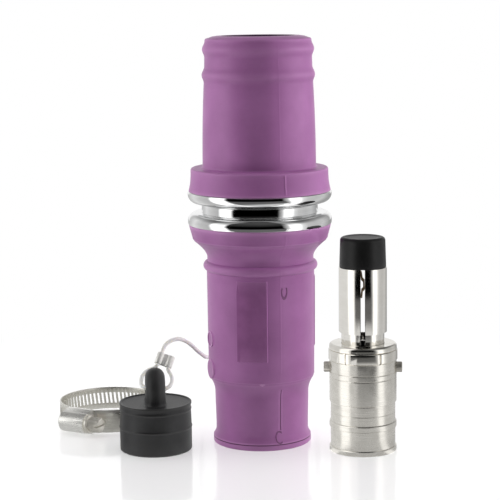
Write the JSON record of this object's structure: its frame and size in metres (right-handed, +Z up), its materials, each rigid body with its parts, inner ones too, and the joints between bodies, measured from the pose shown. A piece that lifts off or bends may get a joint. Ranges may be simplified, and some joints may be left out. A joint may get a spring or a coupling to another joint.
{
  "type": "sewer hose kit",
  "caption": "Sewer hose kit: rubber-cuffed flanged coupling with a tethered stopper, a worm-drive hose clamp and a steel adapter with a sprung valve stem.",
  "frame": {"origin": "on the coupling's axis, at the mouth of its tail, on the plane that every loose piece of the kit stands on", "axes": "+Z runs up the coupling from its tail to its top cuff; +X runs from the stopper towards the adapter, to the right seen from the front; +Y points away from the front, towards the hose clamp"},
  "size_m": [0.2087, 0.1241, 0.2412],
  "materials": {
    "cuff_rubber": "satin",
    "chrome": "polished",
    "turned_steel": "turned and polished",
    "stem_steel": "drawn and polished",
    "pin_steel": "polished",
    "spring_steel": "drawn wire",
    "leaf_steel": "dark, worn at the bends",
    "black_rubber": "matte",
    "seal_rubber": "matte",
    "tether_nylon": "translucent satin",
    "crimp_metal": "satin",
    "clamp_steel": "rolled strip",
    "housing_steel": "pressed, tumbled",
    "screw_steel": "turned"
  },
  "bodies": {
    "kit": {"upper_cuff": "cuff_rubber", "lower_cuff": "cuff_rubber", "upper_flange": "chrome", "lower_flange": "chrome", "union_seal": "seal_rubber", "adapter_tail": "turned_steel", "adapter_barrel": "turned_steel", "barrel_gasket": "seal_rubber", "plate_gasket": "seal_rubber", "lock_ring": "turned_steel", "end_plate": "turned_steel", "bayonet_pins": "pin_steel", "return_spring": "spring_steel", "stopper": "black_rubber", "tether_loop": "tether_nylon", "tether_crimp": "crimp_metal", "tether_cable": "tether_nylon", "tether_stop": "crimp_metal", "clamp_band": "clamp_steel", "clamp_housing": "housing_steel"},
    "stem": {"stem_tube": "stem_steel", "stem_sleeve": "stem_steel", "stem_cap": "black_rubber", "stem_leaf": "leaf_steel", "stem_foot": "stem_steel", "foot_seal": "seal_rubber"},
    "screw": {"clamp_screw": "screw_steel"}
  },
  "joints": [
    {"name": "stem_press", "type": "slide", "parent": "kit", "child": "stem", "axis": [0, 0, -1], "range_m": [0, 0.0064], "stiffness_N_per_m": 900, "springref_m": -0.004, "deforming": ["return_spring"]},
    {"name": "screw_turn", "type": "hinge", "parent": "kit", "child": "screw", "pos_m": [-0.11363, 0.01606, 0.0075], "axis": [0.866, -0.5, 0], "continuous": true}
  ]
}
